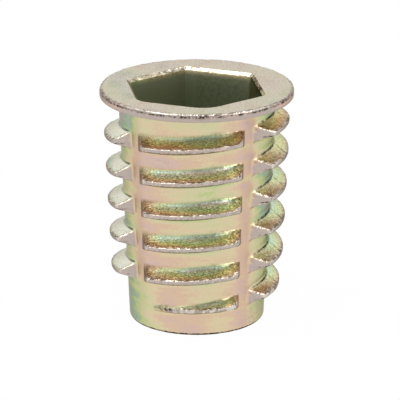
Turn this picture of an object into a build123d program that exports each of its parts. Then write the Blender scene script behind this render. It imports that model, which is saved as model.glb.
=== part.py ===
"""Flanged threaded insert for wood, one zinc die casting.

The insert stands on its lower end with its axis on Z. A tapered barrel carries a coarse knife
thread on the outside, cast by four slides, so that the ridge is broken by four narrow smooth strips.
The flange on top has a hexagon socket for the key, and below the socket runs the bore of the
machine thread.
"""
from build123d import *
import math
import os

# Whole part.
LENGTH = 25.0
FULL_TURN = 360

# Hexagon socket with its bevelled mouth, and the ledge at its floor that stops the key.
HEX_ACROSS_FLATS = 12.9
HEX_DEPTH = 8.0
HEX_DRAFT = 2.5
FLOOR_LEDGE = 0.7
MOUTH_BEVEL = 0.3
MOUTH_ANGLE = 45

# Bore of the machine thread (core diameter of M10), opened out at the lower end.
BORE_DIAMETER = 8.5
BORE_BEVEL = 0.5

# Barrel, a draft cone that is widest under the flange: the wall is measured at the hexagon's corners.
CORNER_WALL = 0.726
BARREL_DRAFT = 2.6
FOOT_BEVEL = 0.3

# Flange.
FLANGE_OVERHANG = 1.93
FLANGE_THICKNESS = 0.85
FLANGE_TOP_ROUND = 0.4
FLANGE_LOWER_BEVEL = 0.08
NECK_BEVEL = 0.25
CORNER_REACH = 0.05

# Outside ridge of the knife thread: its flank is steeper below, and both edges are counted from the helix.
RIDGE_PITCH = 3.6
RIDGE_HEIGHT = 1.67
RIDGE_FOOT_BELOW = 0.86
RIDGE_FOOT_ABOVE = 0.98
RIDGE_CREST_BELOW = 0.26
RIDGE_CREST_ABOVE = 0.14
RIDGE_SINK = 0.4
RIDGE_TURNS = 5
RIDGE_FIRST_Z = 4.29

# The ridge rises out of the barrel over half a turn, and sinks again at the end of its last turn:
# angles before the first and the last full section, and shares of the height there.
LEAD_ANGLES = (-166, -147, -127, -107, -86, -62, -37, 0)
LEAD_SHARES = (0.02, 0.21, 0.43, 0.66, 0.82, 0.87, 0.88, 0.86)
END_ANGLES = (-48, -40, -33, -26, -15, -3)
END_SHARES = (1.0, 0.95, 0.8, 0.58, 0.28, 0.02)

# Strips where the four slides of the die meet, and the way each slide is drawn.
PARTING_ANGLES = (0, 93.9, 180, 273.9)
PULL_ANGLES = (53.6, 143.6, 233.6, 323.6)
PULL_DRAFT = 5
STRIP_WIDTH = 1.15
NOTCH_INWARD = 1.5
NOTCH_OUTWARD = 4.5

# Sizes that follow.
FLANGE_LOWER_Z = LENGTH - FLANGE_THICKNESS
DRAFT_SHARE = math.tan(math.radians(BARREL_DRAFT))
BARREL_UPPER_RADIUS = HEX_ACROSS_FLATS / math.sqrt(3) + CORNER_WALL
BARREL_LOWER_RADIUS = BARREL_UPPER_RADIUS - DRAFT_SHARE * FLANGE_LOWER_Z
FLANGE_RADIUS = BARREL_UPPER_RADIUS + FLANGE_OVERHANG
BORE_RADIUS = BORE_DIAMETER / 2
HEX_FLOOR_Z = LENGTH - HEX_DEPTH
HEX_INNER_RADIUS = HEX_ACROSS_FLATS / 2 - HEX_DEPTH * math.tan(math.radians(HEX_DRAFT))
SOCKET_CONE_RADIUS = HEX_INNER_RADIUS - FLOOR_LEDGE
SOCKET_CONE_HEIGHT = SOCKET_CONE_RADIUS - BORE_RADIUS


def barrel_radius(z):
    """Radius of the barrel between the ridges at a height."""
    return BARREL_LOWER_RADIUS + DRAFT_SHARE * z


def ridge_section(angle, share=1.0):
    """Section of the ridge in the half plane at an angle; a share under one sinks it into the barrel."""
    z = RIDGE_FIRST_Z + RIDGE_PITCH * angle / FULL_TURN
    root = barrel_radius(z) - RIDGE_HEIGHT * (1 - share)
    sink = RIDGE_SINK / RIDGE_HEIGHT
    foot_below = RIDGE_FOOT_BELOW + sink * (RIDGE_FOOT_BELOW - RIDGE_CREST_BELOW)
    foot_above = RIDGE_FOOT_ABOVE + sink * (RIDGE_FOOT_ABOVE - RIDGE_CREST_ABOVE)
    profile = ((root - RIDGE_SINK, z - foot_below), (root + RIDGE_HEIGHT, z - RIDGE_CREST_BELOW),
               (root + RIDGE_HEIGHT, z + RIDGE_CREST_ABOVE), (root - RIDGE_SINK, z + foot_above))
    return Rot(0, 0, angle) * Face(Wire.make_polygon([(x, 0, height) for x, height in profile], close=True))


def notch_outline(z, parting, wall_before, wall_after):
    """Plan outline of the room between two slides: a strip on the barrel that opens outward."""
    root, half = barrel_radius(z), STRIP_WIDTH / 2
    before, after = math.radians(parting - wall_before), math.radians(wall_after - parting)
    outline = ((root - NOTCH_INWARD, -half), (root, -half),
               (root + NOTCH_OUTWARD * math.cos(before), -half - NOTCH_OUTWARD * math.sin(before)),
               (root + NOTCH_OUTWARD * math.cos(after), half + NOTCH_OUTWARD * math.sin(after)),
               (root, half), (root - NOTCH_INWARD, half))
    return Rot(0, 0, parting) * Face(Wire.make_polygon([(x, y, z) for x, y in outline], close=True))


# Flange and barrel, turned from one half section.
half_section = make_face(Polyline(
    (0, 0), (BARREL_LOWER_RADIUS, 0), (BARREL_UPPER_RADIUS, FLANGE_LOWER_Z),
    (FLANGE_RADIUS, FLANGE_LOWER_Z), (FLANGE_RADIUS, LENGTH), (0, LENGTH), close=True))


def corners_at(x, y):
    """Corners of the half section at a point."""
    return half_section.vertices().filter_by(lambda v: math.dist((v.X, v.Y), (x, y)) < CORNER_REACH)


half_section = chamfer(corners_at(BARREL_LOWER_RADIUS, 0), FOOT_BEVEL)
half_section = chamfer(corners_at(BARREL_UPPER_RADIUS, FLANGE_LOWER_Z), NECK_BEVEL)
half_section = chamfer(corners_at(FLANGE_RADIUS, FLANGE_LOWER_Z), FLANGE_LOWER_BEVEL)
half_section = fillet(corners_at(FLANGE_RADIUS, LENGTH), FLANGE_TOP_ROUND)
insert = revolve(Plane.XZ * half_section, Axis.Z)

# Knife thread: the lead-in, the full turns and the end, broken where the slides meet.
last_angle = FULL_TURN * RIDGE_TURNS
full_height = RIDGE_PITCH * (last_angle + END_ANGLES[0]) / FULL_TURN
lead_in = loft([ridge_section(angle, share) for angle, share in zip(LEAD_ANGLES, LEAD_SHARES)])
helix = Helix(RIDGE_PITCH, full_height, barrel_radius(RIDGE_FIRST_Z), (0, 0, RIDGE_FIRST_Z),
              cone_angle=BARREL_DRAFT)
turns = sweep(ridge_section(0), helix, is_frenet=True)
end = loft([ridge_section(last_angle + angle, share) for angle, share in zip(END_ANGLES, END_SHARES)])
ridge = lead_in + turns + end
for index, parting in enumerate(PARTING_ANGLES):
    before = PULL_ANGLES[index - 1] - PULL_DRAFT - (FULL_TURN if index == 0 else 0)
    after = PULL_ANGLES[index] + PULL_DRAFT
    ridge -= loft([notch_outline(z, parting, before, after) for z in (0, LENGTH)], ruled=True)
insert += ridge

# Hexagon socket with corners on X, its mouth, the cone and the bore.
mouth_flats = HEX_ACROSS_FLATS + 2 * MOUTH_BEVEL
hexagon = RegularPolygon(HEX_ACROSS_FLATS / 2, 6, major_radius=False)
mouth = RegularPolygon(mouth_flats / 2, 6, major_radius=False)
insert -= Pos(0, 0, LENGTH) * extrude(hexagon, -HEX_DEPTH, taper=HEX_DRAFT)
insert -= Pos(0, 0, LENGTH) * extrude(mouth, -MOUTH_BEVEL, taper=MOUTH_ANGLE)
socket_cone = Cone(BORE_RADIUS, SOCKET_CONE_RADIUS, SOCKET_CONE_HEIGHT)
insert -= Pos(0, 0, HEX_FLOOR_Z - SOCKET_CONE_HEIGHT / 2) * socket_cone
insert -= Pos(0, 0, HEX_FLOOR_Z / 2) * Cylinder(BORE_RADIUS, HEX_FLOOR_Z)
insert -= Pos(0, 0, BORE_BEVEL / 2) * Cone(BORE_RADIUS + BORE_BEVEL, BORE_RADIUS, BORE_BEVEL)

os.makedirs("parts", exist_ok=True)
insert.label = "insert_body"
export_step(insert, "parts/insert_body.step")
box = insert.bounding_box()
print("solids", len(insert.solids()), "volume", round(insert.volume, 1))
print("box", [round(v, 3) for v in (*box.min, *box.max)])
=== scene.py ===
# %% [markdown]
# # A threaded insert, cast in zinc
# The object is a flanged insert for wood: a tapered barrel with a coarse knife thread outside, a
# hexagon socket for the key in the flange, and a machine thread in the bore. It is one die casting.
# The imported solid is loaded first, so that everything made here lies where the solid lies. A part this
# small is easier to think about in millimetres, so it is scaled to metres once, on its way into the mesh.

# %% The frame
import math
import bpy
import numpy as np
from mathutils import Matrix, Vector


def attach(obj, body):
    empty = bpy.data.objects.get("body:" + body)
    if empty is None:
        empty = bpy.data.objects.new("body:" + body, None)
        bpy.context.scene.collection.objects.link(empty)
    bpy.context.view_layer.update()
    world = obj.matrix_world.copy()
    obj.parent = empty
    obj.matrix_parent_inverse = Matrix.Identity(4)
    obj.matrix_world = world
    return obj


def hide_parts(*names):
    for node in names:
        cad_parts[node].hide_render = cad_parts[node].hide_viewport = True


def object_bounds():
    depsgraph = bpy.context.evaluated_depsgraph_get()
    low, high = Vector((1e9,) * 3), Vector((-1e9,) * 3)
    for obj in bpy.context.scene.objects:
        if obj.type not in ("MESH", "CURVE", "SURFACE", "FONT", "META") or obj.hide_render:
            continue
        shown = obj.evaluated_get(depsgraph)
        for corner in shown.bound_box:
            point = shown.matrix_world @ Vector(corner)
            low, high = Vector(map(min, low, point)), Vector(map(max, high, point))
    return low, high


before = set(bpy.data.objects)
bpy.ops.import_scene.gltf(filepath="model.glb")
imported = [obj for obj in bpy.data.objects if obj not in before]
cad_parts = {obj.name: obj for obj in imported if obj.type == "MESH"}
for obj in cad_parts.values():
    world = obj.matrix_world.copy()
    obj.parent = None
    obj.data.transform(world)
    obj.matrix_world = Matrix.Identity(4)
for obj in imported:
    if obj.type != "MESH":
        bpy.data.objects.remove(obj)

cad_low, cad_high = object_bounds()
MM = 0.001
LENGTH = (cad_high.z - cad_low.z) / MM
FLANGE_RADIUS = (cad_high.x - cad_low.x) / 2 / MM
print("frame: length %.2f mm, flange radius %.3f mm" % (LENGTH, FLANGE_RADIUS))

# %% [markdown]
# ## The camera
# A small thing is photographed from well away with a long lens, which keeps its outline almost
# parallel. Four numbers place the camera: its angle round the axis, its angle above the horizon, its
# distance, and the lens. A small shift of the lens sets the object in the frame without turning the view.

# %% Camera
VIEW_ROUND, VIEW_UP = math.radians(-37.4), math.radians(18.74)
VIEW_DISTANCE, LENS, SENSOR = 360.8, 309.6, 36.0
LENS_SHIFT, CLIP = (0.0081, 0.0006), (0.01, 20.0)
front = np.array([math.sin(VIEW_ROUND), -math.cos(VIEW_ROUND), 0.0])
right = np.array([math.cos(VIEW_ROUND), math.sin(VIEW_ROUND), 0.0])
up = np.array([0.0, 0.0, 1.0])
FRONT_ANGLE = math.degrees(math.atan2(front[1], front[0]))
centre = np.array([0.0, 0.0, LENGTH / 2])
camera_place = centre + VIEW_DISTANCE * (front * math.cos(VIEW_UP) + up * math.sin(VIEW_UP))


def put(name, data):
    """Makes an object of a mesh, a lamp or a camera, and puts it into the scene."""
    made = bpy.data.objects.new(name, data)
    bpy.context.scene.collection.objects.link(made)
    return made


camera_data = bpy.data.cameras.new("view")
camera_data.lens, camera_data.sensor_width = LENS, SENSOR
camera_data.shift_x, camera_data.shift_y = LENS_SHIFT
camera_data.clip_start, camera_data.clip_end = CLIP
camera = put("view", camera_data)
camera.location = camera_place * MM
camera.rotation_euler = (math.pi / 2 - VIEW_UP, 0.0, VIEW_ROUND)
bpy.context.scene.camera = camera
print("camera stands %.0f mm away" % VIEW_DISTANCE)

# %% [markdown]
# ## Soft borders
# Nothing on a casting starts or stops at a sharp line. Four functions are used all through the lesson
# for that: a straight ramp, a smooth step, a stretch with a smooth step at each end, and a bell.

# %% Ramps, steps and bells
FULL_TURN = 360.0


def ramp(value, start, end):
    """0 up to start, 1 from end on, and a straight line between them."""
    return np.clip((value - start) / (end - start), 0.0, 1.0)


def ease(value, start, end):
    """The same ramp bent into a smooth step: 3 times its square less 2 times its cube. Where start is the
    greater of the two, the step falls instead of rising."""
    share = ramp(value, start, end)
    return share * share * (3.0 - 2.0 * share)


def within(value, start, full, fading, end):
    """1 between full and fading, 0 before start and after end, and smooth steps between."""
    return ease(value, start, full) * ease(value, end, fading)


def bell(value, middle, reach, power=2):
    """1 at the middle: e to the minus of the distance over the reach, raised to an even power."""
    return np.exp(-((value - middle) / reach) ** power)


def turn_between(a, b):
    """Angle from b to a in degrees, the short way round, from -180 to 180."""
    return (a - b + FULL_TURN / 2) % FULL_TURN - FULL_TURN / 2


print("a smooth step is %.2f halfway" % ease(0.5, 0.0, 1.0))

# %% [markdown]
# ## One skin on one grid
# The whole casting is a single closed skin. It could be cut together from cylinders and a swept
# thread with booleans, but those leave ragged triangles along every edge, and a shiny metal shows
# each of them. Here the skin is one grid: its columns stand round the axis, and its rows go from the
# foot up the barrel, over the flange and down through the socket and the bore. The columns crowd
# together beside the four parting strips, where the ridge is cut off, and one lies on each corner of
# the hexagon.

# %% Columns round the axis
COLUMNS, BORE_SHARE = 370, 5
CROWDING, CROWD_MIDDLE, CROWD_REACH, FINE_STEPS = 2.5, 8.0, 8.0, 7201
PARTING_ANGLES = np.array([0.0, 93.9, 180.0, 273.9])
PULL_ANGLES = np.array([53.6, 143.6, 233.6, 323.6])
HEX_TURN, HEX_STEP = 1.5, 60.0
HEX_CORNERS = HEX_TURN + np.arange(6) * HEX_STEP


def crowded_columns(count):
    """Angles of the columns: a density of 1, raised to about 3.5 beside each parting strip, is summed
    round the circle, and the sum is read backwards at even steps."""
    fine = np.linspace(0.0, FULL_TURN, FINE_STEPS)
    beside = np.abs(turn_between(fine[:, None], PARTING_ANGLES[None, :]))
    density = 1.0 + CROWDING * bell(beside, CROWD_MIDDLE, CROWD_REACH, 4).sum(axis=1)
    total = np.concatenate([[0.0], np.cumsum((density[1:] + density[:-1]) / 2)])
    angles = np.interp(np.arange(count) / count * total[-1], total, fine)
    nearest = np.abs(turn_between(angles[:, None], HEX_CORNERS[None, :])).argmin(axis=0)
    angles[nearest] = HEX_CORNERS
    return angles


columns = crowded_columns(COLUMNS)
bore_columns = columns[::BORE_SHARE]
steps = np.diff(columns)
print("columns: %d, from %.2f to %.2f degrees apart" % (COLUMNS, steps.min(), steps.max()))

# %% [markdown]
# ## The knife thread
# Wood is cut by a tall, thin ridge with a wide pitch. The die has four slides, each drawn straight
# out, so the ridge is broken by four narrow strips, and its cut ends lean the way that each slide
# moves. A ridge could be swept along a helix, but then every end needs a boolean. As a height field
# it is one formula: the radius is the greater of the barrel and the ridge, and the ridge is the least
# of its two flanks, its crest and the walls of the slides. Rounded versions of "least" and "greatest"
# give the small radii that a casting has at its roots and edges.

# %% Barrel and walls of the slides
DRAFT_SHARE = math.tan(math.radians(2.6))
FLANGE_THICKNESS, FLANGE_OVERHANG = 0.85, 1.93
BARREL_UPPER_RADIUS = FLANGE_RADIUS - FLANGE_OVERHANG
BARREL_LOWER_RADIUS = BARREL_UPPER_RADIUS - DRAFT_SHARE * (LENGTH - FLANGE_THICKNESS)
STRIP_WIDTH, PULL_DRAFT = 1.15, 5.0
FAR_OUT, LEAST_SINE, LEAN_MARGIN = 99.0, 0.02, 3.0


def soft_min(a, b, blend):
    """Lesser of a and b, with a parabola over the stretch where they differ by less than blend."""
    share = np.clip(0.5 + 0.5 * (b - a) / blend, 0.0, 1.0)
    return b + (a - b) * share - blend * share * (1.0 - share)


def soft_max(a, b, blend):
    """Greater of a and b, rounded in the same way."""
    return -soft_min(-a, -b, blend)


def barrel_radius(z):
    """The barrel is a cone: its radius grows in proportion to the height."""
    return BARREL_LOWER_RADIUS + DRAFT_SHARE * z


def slide_wall(beside, root, lean):
    """Radius at which a ray from the axis, beside degrees away from a strip's middle, meets the wall that
    starts at the strip's edge on the barrel and leans lean degrees away from the strip's own direction."""
    ray, wall, half = np.radians(beside), math.radians(lean), STRIP_WIDTH / 2
    run = (root * np.sin(ray) - half * np.cos(ray)) / np.maximum(np.sin(wall - ray), LEAST_SINE)
    met = np.hypot(root + run * math.cos(wall), half + run * math.sin(wall))
    return np.where((beside >= 0) & (beside < lean - LEAN_MARGIN), met, FAR_OUT)


def walls_of_slides(angle, root):
    """Least radius of the eight walls at each point: two for each strip, mirrored for the near one."""
    least = np.full(np.broadcast(angle, root).shape, FAR_OUT)
    for index, parting in enumerate(PARTING_ANGLES):
        beside = turn_between(angle, parting)
        after = turn_between(PULL_ANGLES[index], parting) + PULL_DRAFT
        before = turn_between(parting, PULL_ANGLES[index - 1]) + PULL_DRAFT
        least = np.minimum(least, slide_wall(beside, root, after))
        least = np.minimum(least, slide_wall(-beside, root, before))
    return least


print("barrel radius: %.3f mm at the foot, %.3f mm under the flange"
      % (BARREL_LOWER_RADIUS, BARREL_UPPER_RADIUS))

# %% [markdown]
# The four slides were cut and worn one by one, so the ridge isn't the same on all of them. On the slide
# that faces the camera the upper flank is more hollow and meets the barrel in a wide round. A window is
# the stretch of ridge between two strips; at the right ends of these windows the crest curls up and the
# foot of the flank comes down.

# %% Form of the ridge
RIDGE_PITCH, RIDGE_FIRST_Z, RIDGE_HEIGHT = 3.6, 4.29, 1.67
CREST_LOW, CREST_HIGH, FOOT_LOW, FOOT_HIGH = -0.26, 0.14, -0.86, 1.06
CREST_BOW, HOLLOW, FRONT_HOLLOW = 0.3, 1.22, 1.40
LOWER_ROOT_ROUND, UPPER_ROOT_ROUND, FRONT_ROOT_ROUND, END_ROOT_ROUND = 0.20, 0.36, 0.80, 0.06
EDGE_ROUND, END_ROUND = 0.10, 0.42
UPPER_STARTS, INSIDE_WALL, AT_WALL = (0.0, 0.25), (0.0, 0.6), (0.0, 0.1)
FRONT_LEFT, FRONT_NARROWS, NARROWED, WINDOW_BORDER = (-52.0, -44.0), (5.0, 36.0), 0.6, (50.0, 46.0)
CURL, CURL_FROM, CURL_REACH, FOOT_DROP, DROP_FROM = 0.35, (15.0, 25.0), 0.5, 0.2, (10.0, 40.0)
RISE_ANGLES = (-166, -147, -127, -107, -86, -62, -37, -0.01, 0, 1752, 1760, 1767, 1774, 1785, 1797)
RISE_SHARES = (0.02, 0.21, 0.43, 0.66, 0.82, 0.87, 0.88, 0.86, 1, 1, 0.95, 0.8, 0.58, 0.28, 0.02)
PAST_ENDS = -0.5


def rise(whole_angle):
    """Share of its height that the ridge has at an angle counted on through the turns, read from a table on
    straight lines; beyond both ends it is negative, so that the ridge lies under the barrel."""
    return np.interp(whole_angle, RISE_ANGLES, RISE_SHARES, left=PAST_ENDS, right=PAST_ENDS)


def ridge_form(angle, turn, offset):
    """Radius of the skin at an angle and an offset above the crest of a turn. The lower flank falls from the
    crest in proportion to the offset, the upper one with a power of it, and the crest is bowed. The ridge
    sinks where it starts and ends, and the walls of the slides cut it. Also gives what the masks need: how far
    the ridge stands out, its share of the full height, how far it would reach past the wall, the upper edge
    of its crest and the angle from the front."""
    whole_angle = angle + FULL_TURN * turn
    crest_z = RIDGE_FIRST_Z + RIDGE_PITCH * whole_angle / FULL_TURN
    root, barrel, share = barrel_radius(crest_z), barrel_radius(crest_z + offset), rise(whole_angle)
    sunk = root - RIDGE_HEIGHT * (1 - share)
    wall, sideways = walls_of_slides(angle, root), turn_between(angle, FRONT_ANGLE)
    before_strip = ease(sideways, *WINDOW_BORDER)
    on_front = ease(sideways, *FRONT_LEFT) * (1.0 - NARROWED * ease(sideways, *FRONT_NARROWS)) * before_strip
    near_wall = np.exp(-np.maximum(wall - sunk - RIDGE_HEIGHT, 0.0) / CURL_REACH)
    crest_high = CREST_HIGH + CURL * ease(sideways, *CURL_FROM) * before_strip * near_wall
    foot_high = FOOT_HIGH - FOOT_DROP * ease(sideways, *DROP_FROM) * before_strip
    climbed = (foot_high - offset) / (foot_high - crest_high)
    hollowed = np.abs(climbed) ** (HOLLOW + (FRONT_HOLLOW - HOLLOW) * on_front)
    upper = sunk + RIDGE_HEIGHT * np.where(climbed > 0, hollowed, climbed)
    lower = sunk + RIDGE_HEIGHT * (offset - FOOT_LOW) / (CREST_LOW - FOOT_LOW)
    crest = sunk + RIDGE_HEIGHT - CREST_BOW * (offset - (CREST_LOW + CREST_HIGH) / 2) ** 2
    ridge = soft_min(soft_min(upper, lower, EDGE_ROUND), crest, EDGE_ROUND)
    past_wall = ridge - wall
    upper_round = UPPER_ROOT_ROUND + (FRONT_ROOT_ROUND - UPPER_ROOT_ROUND) * on_front
    at_upper_root = ramp(-past_wall, *INSIDE_WALL) * ramp(offset, *UPPER_STARTS)
    root_round = LOWER_ROOT_ROUND + (upper_round - LOWER_ROOT_ROUND) * at_upper_root
    root_round += (END_ROOT_ROUND - root_round) * ramp(past_wall, *AT_WALL)
    radius = soft_max(barrel, soft_min(ridge, wall, END_ROUND), root_round)
    stands = np.clip((radius - barrel) / RIDGE_HEIGHT, 0.0, 1.0)
    return radius, stands, share, past_wall, crest_high, sideways


print("the ridge stands %.2f mm out and climbs %.1f mm a turn" % (RIDGE_HEIGHT, RIDGE_PITCH))

# %% [markdown]
# A finish follows the shape: edges get rubbed, the flanks take the coat in another way than the crest, and
# painted shade darkens the skin under the crest and before the walls. So the offsets and walls that shape the
# ridge also say which part of it a point lies on. Each mask is a product of the soft borders from above.

# %% Masks of the ridge
END_PAST, END_STANDS, END_IN_WINDOW = (0.0, 0.12), (0.0, 0.125), 0.85
RUBBED_EDGE, RUBBED_SHARE, LOW_STANDS = (0.03, 0.09), (0.0, 0.25), (0.0, 1 / 6)
CUT_EDGE, CUT_STANDS, CUT_IN_WINDOW, CUT_WEAR = (0.0, 0.18), (0.075, 0.325), 0.7, 0.9
WINDOW_OFFSETS = (CREST_HIGH, CREST_HIGH + 0.12)
UNDER_CREST, UNDER_STANDS = (CREST_LOW - 0.03, 0.06), (1 / 3, 2 / 3)
CORNER, CORNER_LEFT, CORNER_RIGHT = (-0.34, 0.12), 0.5, 0.9
FLANK_EDGE, FLANK_STANDS, CREST_STANDS, LEAST_SHARE = (-0.04, 0.10), (0.02, 0.16), (0.7, 0.95), 0.2


def ridge_masks(offset, stands, share, past_wall, crest_high, sideways):
    """Masks from 0 to 1 of the upper flank, the crest, the cut ends, the rubbed edges and the painted shade.
    The flank lies above the crest's edge, the ends lie past the wall, the crest stands almost at full height;
    bells round the crest's edge and the wall are rubbed; bells under the crest and before the wall carry
    painted shade."""
    over_edge = offset - crest_high
    end_face = ramp(past_wall, *END_PAST) * ramp(stands, *END_STANDS)
    rubbed = bell(over_edge, *RUBBED_EDGE) * ramp(share, *RUBBED_SHARE) * (1.0 - end_face)
    rubbed = rubbed * ramp(stands, *LOW_STANDS)
    window_end = ease(np.abs(sideways), *WINDOW_BORDER) * ease(offset, *WINDOW_OFFSETS)
    cut_edge = bell(past_wall, *CUT_EDGE) * ramp(stands, *CUT_STANDS) * (1.0 - CUT_IN_WINDOW * window_end)
    end_face = end_face * (1.0 - END_IN_WINDOW * window_end)
    # Painted shade: a dark line just under the crest.
    under_crest = bell(offset, *UNDER_CREST) * ramp(stands, *UNDER_STANDS)
    # Painted shade: a dark line on the flank just before the wall, beside the rubbed cut edge.
    corner = bell(past_wall, *CORNER) * ramp(stands, *LOW_STANDS) * (offset > CREST_HIGH)
    corner = corner * np.where(sideways > 0, CORNER_RIGHT, CORNER_LEFT)
    flank = ease(over_edge, *FLANK_EDGE) * ease(stands, *FLANK_STANDS) * (1.0 - end_face)
    on_crest = ease(stands / np.maximum(share, LEAST_SHARE), *CREST_STANDS) * (1.0 - flank)
    return flank, on_crest, end_face, np.maximum(rubbed, CUT_WEAR * cut_edge), np.maximum(under_crest, corner)


print("masks: flank, crest, cut ends, rubbed edges and residue")

# %% [markdown]
# ## Rows that follow a helix
# On level rings the crest would climb like a staircase. So the rows climb with the thread: each keeps
# its offset from the crest all the way round, and after a full turn it meets the row one turn higher.
# Where a row leaves the barrel it is held at that height, and the faces that this flattens are left
# out. The machine thread in the bore is made by the same function with its own pitch.

# %% Helical rows
ridge_offsets = np.array([
    -1.75, -1.35, -1.05, -0.92, -0.84, -0.74, -0.60, -0.45, -0.36, -0.31, -0.26, -0.20, -0.10, 0.02,
    0.08, 0.12, 0.16, 0.20, 0.26, 0.36, 0.48, 0.61, 0.74, 0.86, 0.98, 1.10, 1.24, 1.50])
NECK_ROUND, FOOT_ROUND = 0.3, 0.3
BARREL_LOW_Z, BARREL_HIGH_Z = FOOT_ROUND, LENGTH - FLANGE_THICKNESS - NECK_ROUND


def helical_rows(angles, first_z, pitch, offsets, low, high):
    """Turn of every row, height of every point and its offset, on a grid whose rows climb one pitch a turn.
    The heights are held between low and high, and the offsets with them; enough turns are taken that the
    first is all below and the last all above."""
    start = math.floor((low - first_z - offsets[-1]) / pitch) - 1
    end = math.ceil((high - first_z - offsets[0]) / pitch)
    turn = np.repeat(np.arange(start, end + 1), len(offsets)).astype(float)
    helix = first_z + pitch * (angles[:, None] / FULL_TURN + turn[None, :])
    height = np.clip(helix + np.tile(offsets, end - start + 1)[None, :], low, high)
    return turn, height, height - helix


def helical_faces(height, low, high, per_turn, first):
    """Faces between neighbouring columns. Points held at low or high share one point per column, the last
    column meets the first one turn higher, and a face with two points in one place becomes a triangle."""
    count, rows = height.shape
    own = first + np.arange(count * rows).reshape(count, rows)
    low_ring = first + count * rows + np.arange(count)
    own = np.where(height <= low, low_ring[:, None], own)
    own = np.where(height >= high, low_ring[:, None] + count, own)
    seam = own[0, np.minimum(np.arange(rows) + per_turn, rows - 1)]
    following = np.concatenate([own[1:], seam[None, :]])
    quads = np.stack([own[:, :-1], following[:, :-1], following[:, 1:], own[:, 1:]], axis=-1).reshape(-1, 4)
    left, right_side = quads[:, 0] == quads[:, 3], quads[:, 1] == quads[:, 2]
    whole = quads[~left & ~right_side]
    thin = np.concatenate([quads[left & ~right_side][:, :3], quads[right_side & ~left][:, [0, 1, 3]]])
    return whole, thin, low_ring, low_ring + count


ridge_turn, ridge_height, ridge_offset = helical_rows(
    columns, RIDGE_FIRST_Z, RIDGE_PITCH, ridge_offsets, BARREL_LOW_Z, BARREL_HIGH_Z)
ridge_radius, *ridge_values = ridge_form(columns[:, None], ridge_turn[None, :], ridge_offset)
print("knife thread: %d rows a turn, greatest radius %.3f mm" % (len(ridge_offsets), ridge_radius.max()))

# %% [markdown]
# ## Flange, socket and foot
# The remaining rows are plain rings. On the real casting every edge is a little rounded, partly by
# the die and partly by tumbling in the plating drum, and those small rounds are what catches the light.
# Each ring is a radius and a height; a ring of the socket follows a hexagon. The core that cast this
# socket sat a little askew and was worn round at one corner, so the hexagon is turned and shifted by a
# trifle, and each corner has a radius of its own.

# %% Ring profiles
HEX_FLATS, HEX_DEPTH, HEX_DRAFT = 12.9, 8.0, 2.5
HEX_SHIFT = 0.32 * front - 0.10 * right
CORNER_ROUNDS = np.array([0.6, 0.1, 0.1, 2.0, 2.8, 1.0])
BORE_RADIUS, BORE_BEVEL, FLOOR_HOLE = 4.25, 0.5, 5.4
RIM_ROUND, RIM_FALL, RIM_LOWER_ROUND = 0.20, 0.46, 0.08
FOOT_INNER, FOOT_MIDDLE, UNDERSIDE_RADII = BORE_RADIUS + BORE_BEVEL + 0.12, 5.6, (9.0, 9.6)
HALF_STEP = math.radians(HEX_STEP / 2)


def arc(centre_r, centre_z, across, high, start, end, count):
    """Points of an arc of an ellipse in the half section: the centre plus its two radii times the cosine
    and the sine of an angle that goes from start to end."""
    turned = np.radians(np.linspace(start, end, count))
    return np.stack([centre_r + across * np.cos(turned), centre_z + high * np.sin(turned)], axis=1)


def hexagon(half_flats):
    """Radius of a hexagon at each column: half its width divided by the cosine of the angle from the middle
    of the flat, and at each corner the far side of a circle that touches both flats there."""
    past_corner = (columns - HEX_TURN + HEX_STEP / 2) % FULL_TURN
    rounds = CORNER_ROUNDS[(past_corner // HEX_STEP).astype(int)]
    beside = np.radians(past_corner % HEX_STEP - HEX_STEP / 2)
    flat = half_flats / np.cos(HALF_STEP - np.abs(beside))
    middle = (half_flats - rounds) / math.cos(HALF_STEP)
    touches = np.arctan2(rounds * math.sin(HALF_STEP), middle + rounds * math.cos(HALF_STEP))
    chord = np.sqrt(np.maximum(rounds ** 2 - (middle * np.sin(beside)) ** 2, 0.0))
    return np.where(np.abs(beside) < touches, middle * np.cos(beside) + chord, flat)


under_z, rim_r = LENGTH - FLANGE_THICKNESS, FLANGE_RADIUS
neck_r, foot_r = barrel_radius(BARREL_HIGH_Z), barrel_radius(BARREL_LOW_Z)
foot_profile = np.concatenate([
    [[FOOT_INNER, 0.0], [FOOT_MIDDLE, 0.0], [foot_r - FOOT_ROUND, 0.0]],
    arc(foot_r - FOOT_ROUND, FOOT_ROUND, FOOT_ROUND, FOOT_ROUND, -72, -9, 6)])
flange_profile = np.concatenate([
    arc(neck_r + NECK_ROUND, under_z - NECK_ROUND, -NECK_ROUND, -NECK_ROUND, -15, -90, 6),
    [[radius, under_z] for radius in UNDERSIDE_RADII],
    arc(rim_r - RIM_LOWER_ROUND, under_z + RIM_LOWER_ROUND, RIM_LOWER_ROUND, RIM_LOWER_ROUND, -90, 0, 4),
    arc(rim_r - RIM_ROUND, LENGTH - RIM_FALL, RIM_ROUND, RIM_FALL, 0, 90, 15)])
print("profiles: foot %d rings, flange %d rings" % (len(foot_profile), len(flange_profile)))

# %% [markdown]
# On the top face a circle has to become a hexagon, so its rings are mixed: the share of the hexagon grows
# from the rim to the mouth. Below the mouth the walls of the socket lean in by a few degrees, so that the
# core could be drawn out of the casting.

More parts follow.
